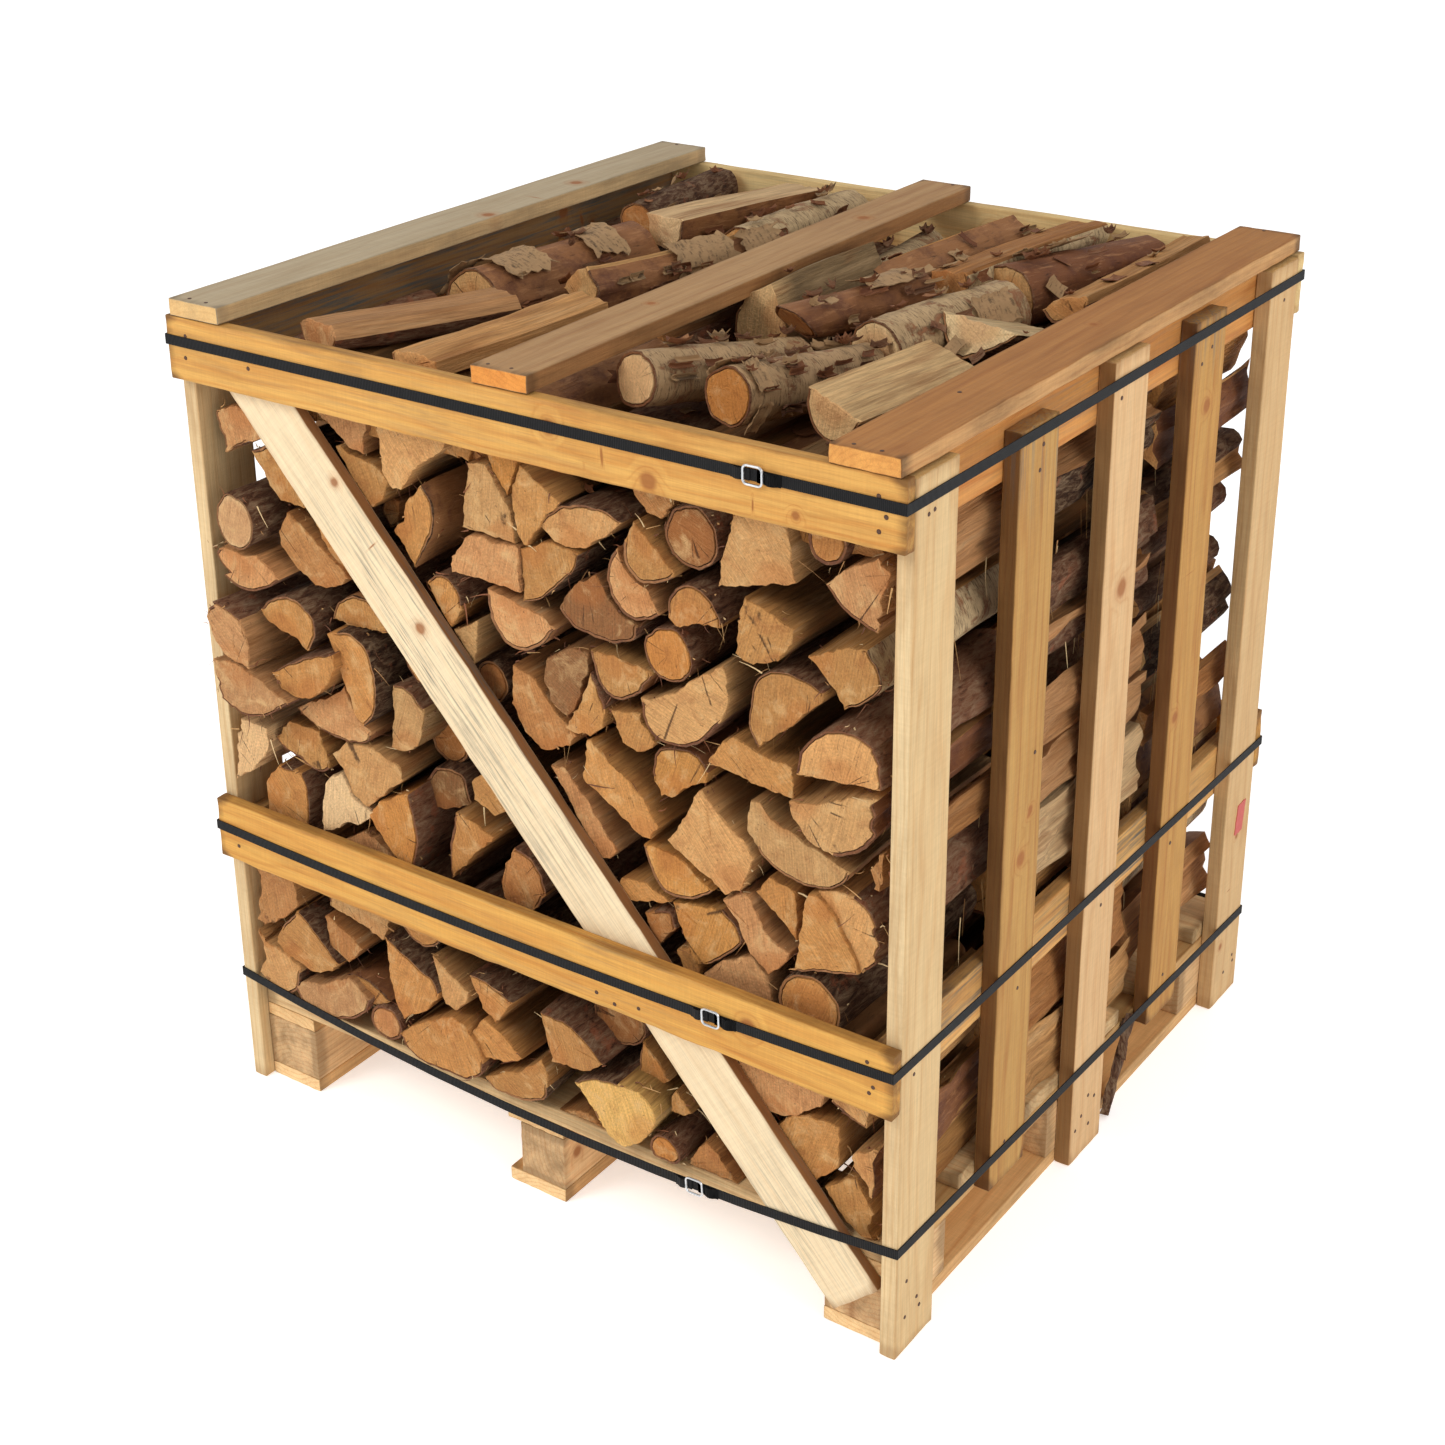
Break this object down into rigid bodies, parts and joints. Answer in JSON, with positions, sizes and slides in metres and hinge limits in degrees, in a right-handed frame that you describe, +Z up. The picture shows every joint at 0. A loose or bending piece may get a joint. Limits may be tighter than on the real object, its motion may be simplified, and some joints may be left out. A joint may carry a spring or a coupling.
{
  "type": "crate of firewood",
  "caption": "Slatted softwood crate on a block pallet, packed with split and round birch and oak logs and held by woven straps with wire buckles.",
  "frame": {"origin": "centre of the footprint on the floor", "axes": "+Z up, -Y towards the front with the diagonal board, +X along the front to the right"},
  "size_m": [1.053, 1.0262, 1.1372],
  "materials": {
    "pallet_board": "rough sawn pine",
    "pallet_block": "rough sawn end grain",
    "straw_board": "rough sawn, pale straw",
    "honey_board": "rough sawn, honey coloured",
    "side_rail_board": "rough sawn, orange brown",
    "brace_board": "rough sawn, pale cream",
    "grey_board": "weathered grey beige",
    "brown_board": "rough sawn, brown",
    "firewood": "split wood and bark",
    "birch_bark": "peeling birch bark",
    "strap": "woven polyester, black",
    "buckle_wire": "bright wire"
  },
  "bodies": {
    "root": {"skid_left": "pallet_board", "stringer_left": "pallet_board", "block_left_front": "pallet_block", "block_left_centre": "pallet_block", "block_left_back": "pallet_block", "skid_middle": "pallet_board", "stringer_middle": "pallet_board", "block_middle_front": "pallet_block", "block_middle_centre": "pallet_block", "block_middle_back": "pallet_block", "skid_right": "pallet_board", "stringer_right": "pallet_board", "block_right_front": "pallet_block", "block_right_centre": "pallet_block", "block_right_back": "pallet_block", "deck_board_1": "pallet_board", "deck_board_2": "pallet_board", "deck_board_3": "pallet_board", "deck_board_4": "pallet_board", "deck_board_5": "pallet_board", "deck_board_6": "pallet_board", "post_front_left": "straw_board", "post_back_left": "straw_board", "slat_middle_left": "straw_board", "slat_front_left": "honey_board", "slat_back_left": "honey_board", "side_top_rail_left": "side_rail_board", "side_middle_rail_left": "side_rail_board", "post_front_right": "straw_board", "post_back_right": "straw_board", "slat_middle_right": "straw_board", "slat_front_right": "honey_board", "slat_back_right": "honey_board", "side_top_rail_right": "side_rail_board", "side_middle_rail_right": "side_rail_board", "front_top_rail": "honey_board", "front_middle_rail": "honey_board", "front_brace": "brace_board", "back_top_rail": "honey_board", "back_middle_rail": "honey_board", "back_brace": "brace_board", "top_board_left": "grey_board", "top_board_middle": "brown_board", "top_board_right": "brown_board", "strap_top": "strap", "buckle_top": "buckle_wire", "strap_middle": "strap", "buckle_middle": "buckle_wire", "strap_deck": "strap", "buckle_deck": "buckle_wire", "firewood_front_row": "firewood", "firewood_middle_row": "firewood", "firewood_back_row": "firewood", "log_birch_left": "birch_bark", "log_birch_front": "birch_bark", "log_birch_flaky": "birch_bark", "log_half_right": "firewood", "log_slab_left": "firewood", "log_slab_front": "firewood", "log_split_back": "firewood"}
  },
  "joints": []
}
